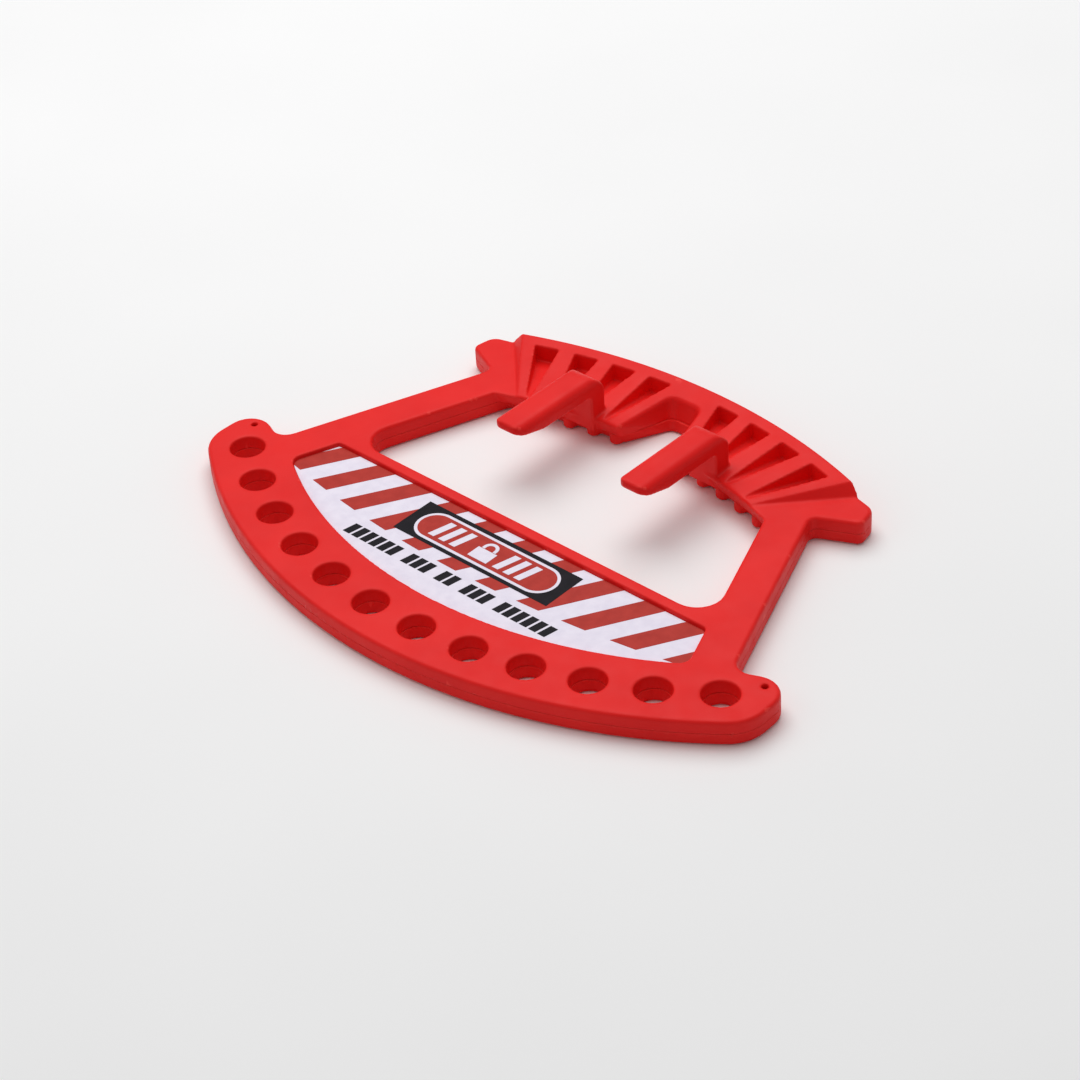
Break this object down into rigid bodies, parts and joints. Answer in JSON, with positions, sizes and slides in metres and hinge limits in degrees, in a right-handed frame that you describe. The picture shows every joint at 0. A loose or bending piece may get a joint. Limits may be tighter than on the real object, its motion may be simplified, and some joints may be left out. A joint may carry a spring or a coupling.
{
  "type": "lockout padlock carrier",
  "caption": "Red moulded carrier for lockout padlocks: curved bar with a row of shackle holes, striped label, carry handle with grip knobs and two hanging hooks.",
  "frame": {"origin": "on the rear face, midway across the width and midway between the front edge of the padlock bar and the back of the handle", "axes": "+X to the right along the padlock bar; +Y from the padlock bar towards the handle; +Z out of the labelled face"},
  "size_m": [0.2358, 0.1644, 0.0244],
  "materials": {
    "red_polymer": "satin moulded red nylon",
    "printed_label": "printed and laminated, slightly glossy",
    "zinc_steel": "zinc plated"
  },
  "bodies": {
    "root": {"front_shell": "red_polymer", "rear_shell": "red_polymer", "front_label": "printed_label", "screw_rim": "zinc_steel", "screw_ear_left": "zinc_steel", "screw_arm_left": "zinc_steel", "screw_lobe_left": "zinc_steel", "screw_bar_left_1": "zinc_steel", "screw_bar_left_4": "zinc_steel", "screw_ear_right": "zinc_steel", "screw_arm_right": "zinc_steel", "screw_lobe_right": "zinc_steel", "screw_bar_right_1": "zinc_steel", "screw_bar_right_4": "zinc_steel"}
  },
  "joints": []
}
